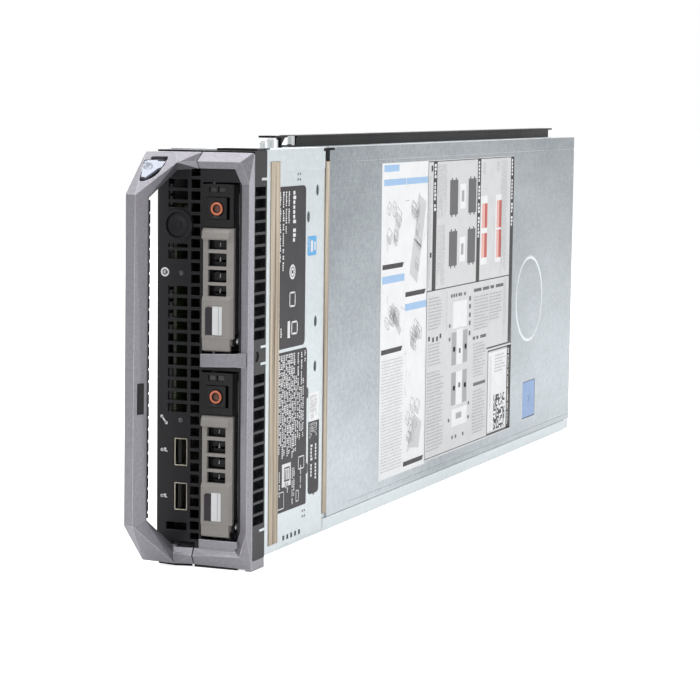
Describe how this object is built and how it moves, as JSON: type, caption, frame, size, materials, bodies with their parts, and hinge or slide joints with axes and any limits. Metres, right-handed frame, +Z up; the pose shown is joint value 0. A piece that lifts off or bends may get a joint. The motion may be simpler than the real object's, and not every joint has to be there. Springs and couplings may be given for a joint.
{
  "type": "blade server",
  "caption": "Narrow upright blade server: vented black bezel, faceted silver ejector handle, hot-swap drive carriers, sliding steel side cover and top hanger rail.",
  "frame": {"origin": "middle of the base of the overall box, in the plane of the lowest face of the front foot", "axes": "+X to the right seen from the front (towards the removable cover), +Y from the ejector handle to the rear connectors, +Z up"},
  "size_m": [0.051, 0.5444, 0.204],
  "materials": {
    "galvanised_steel": "satin",
    "black_plastic": "satin",
    "silver_paint": "satin",
    "warm_grey_plastic": "satin",
    "dark_rubber": "matt",
    "machined_steel": "machined",
    "button_silver": "satin",
    "clear_plastic": "polished",
    "circuit_board": "satin",
    "drive_casting": "cast",
    "blue_plastic": "satin",
    "foam_seal": "matt",
    "black_rail": "satin",
    "brass": "satin",
    "heat_sink_alloy": "extruded",
    "ivory_plastic": "satin",
    "nickel_lid": "satin",
    "component_grey": "satin",
    "printed_label": "satin",
    "orange_plastic": "satin"
  },
  "bodies": {
    "sled": {"chassis_tray": "galvanised_steel", "bezel_body": "black_plastic", "front_frame": "silver_paint", "handle_hinge_pin": "machined_steel", "status_light_pipes": "clear_plastic", "front_usb_ports": "machined_steel", "front_panel_board": "circuit_board", "drive_cage": "galvanised_steel", "drive_backplane": "circuit_board", "seal_strip_front": "foam_seal", "seal_strip_cover": "foam_seal", "top_rail": "black_rail", "rail_gusset": "galvanised_steel", "rail_guide_studs": "machined_steel", "system_board": "circuit_board", "board_standoffs": "brass", "board_screws": "machined_steel", "cpu_sockets": "ivory_plastic", "cpu_packages": "nickel_lid", "cpu_heatsinks": "heat_sink_alloy", "heatsink_screws": "machined_steel", "dimm_sockets": "component_grey", "dimm_modules": "circuit_board", "air_baffle": "component_grey", "raid_card": "circuit_board", "network_card": "circuit_board", "mezzanine_cards": "circuit_board", "mezzanine_connectors": "component_grey", "midplane_connectors": "component_grey", "guide_sockets": "machined_steel", "chipset_heatsink": "heat_sink_alloy", "power_stages": "component_grey", "coin_cell": "nickel_lid", "coin_cell_holder": "component_grey", "rear_plate": "galvanised_steel", "rail_screws": "machined_steel", "usb_tongues": "component_grey", "dimm_latches": "ivory_plastic"},
    "ejector_handle": {"handle_bar": "silver_paint", "handle_grip_liner": "dark_rubber", "handle_badge": "black_plastic", "ejector_cam": "machined_steel"},
    "release_button": {"release_button": "button_silver"},
    "handle_catch": {"handle_catch": "machined_steel"},
    "power_button": {"power_button": "black_plastic"},
    "upper_carrier": {"carrier_frame_upper": "black_plastic", "lever_pin_upper": "machined_steel", "drive_upper": "drive_casting", "drive_screws_upper": "machined_steel"},
    "upper_lever": {"carrier_lever_upper": "warm_grey_plastic"},
    "upper_drive_button": {"carrier_button_upper": "black_plastic"},
    "lower_carrier": {"carrier_frame_lower": "black_plastic", "lever_pin_lower": "machined_steel", "drive_lower": "drive_casting", "drive_screws_lower": "machined_steel"},
    "lower_lever": {"carrier_lever_lower": "warm_grey_plastic"},
    "lower_drive_button": {"carrier_button_lower": "black_plastic"},
    "side_cover": {"cover_panel": "galvanised_steel", "pad_housing": "component_grey"},
    "cover_pad": {"cover_release_pad": "blue_plastic"}
  },
  "joints": [
    {"name": "handle_swing", "type": "hinge", "parent": "sled", "child": "ejector_handle", "pos_m": [0, -0.22975, 0.0075], "axis": [1, 0, 0], "range_deg": [0, 35]},
    {"name": "release_press", "type": "slide", "parent": "ejector_handle", "child": "release_button", "axis": [-0.4492, 0.5353, -0.7153], "range_m": [0, 0.002], "stiffness_N_per_m": 800, "springref_m": -0.0005},
    {"name": "catch_slide", "type": "slide", "parent": "ejector_handle", "child": "handle_catch", "axis": [1, 0, 0], "range_m": [0, 0.002]},
    {"name": "power_press", "type": "slide", "parent": "sled", "child": "power_button", "axis": [0, 1, 0], "range_m": [0, 0.0008], "stiffness_N_per_m": 1200, "springref_m": -0.0003},
    {"name": "cover_slide", "type": "slide", "parent": "sled", "child": "side_cover", "axis": [0, 1, 0], "range_m": [0, 0.012]},
    {"name": "cover_pad_press", "type": "slide", "parent": "side_cover", "child": "cover_pad", "axis": [-1, 0, 0], "range_m": [0, 0.0015], "stiffness_N_per_m": 1000, "springref_m": -0.0004},
    {"name": "upper_carrier_slide", "type": "slide", "parent": "sled", "child": "upper_carrier", "axis": [0, -1, 0], "range_m": [0, 0.112]},
    {"name": "upper_lever_swing", "type": "hinge", "parent": "upper_carrier", "child": "upper_lever", "pos_m": [0, -0.23375, 0.1085], "axis": [1, 0, 0], "range_deg": [0, 60]},
    {"name": "upper_drive_button_press", "type": "slide", "parent": "upper_carrier", "child": "upper_drive_button", "axis": [0, 1, 0], "range_m": [0, 0.0015], "stiffness_N_per_m": 800, "springref_m": -0.0004},
    {"name": "lower_carrier_slide", "type": "slide", "parent": "sled", "child": "lower_carrier", "axis": [0, -1, 0], "range_m": [0, 0.112]},
    {"name": "lower_lever_swing", "type": "hinge", "parent": "lower_carrier", "child": "lower_lever", "pos_m": [0, -0.23375, 0.02], "axis": [1, 0, 0], "range_deg": [0, 60]},
    {"name": "lower_drive_button_press", "type": "slide", "parent": "lower_carrier", "child": "lower_drive_button", "axis": [0, 1, 0], "range_m": [0, 0.0015], "stiffness_N_per_m": 800, "springref_m": -0.0004}
  ],
  "couplings": [
    {"joint": "catch_slide", "follows": "release_press", "ratio": 1}
  ]
}
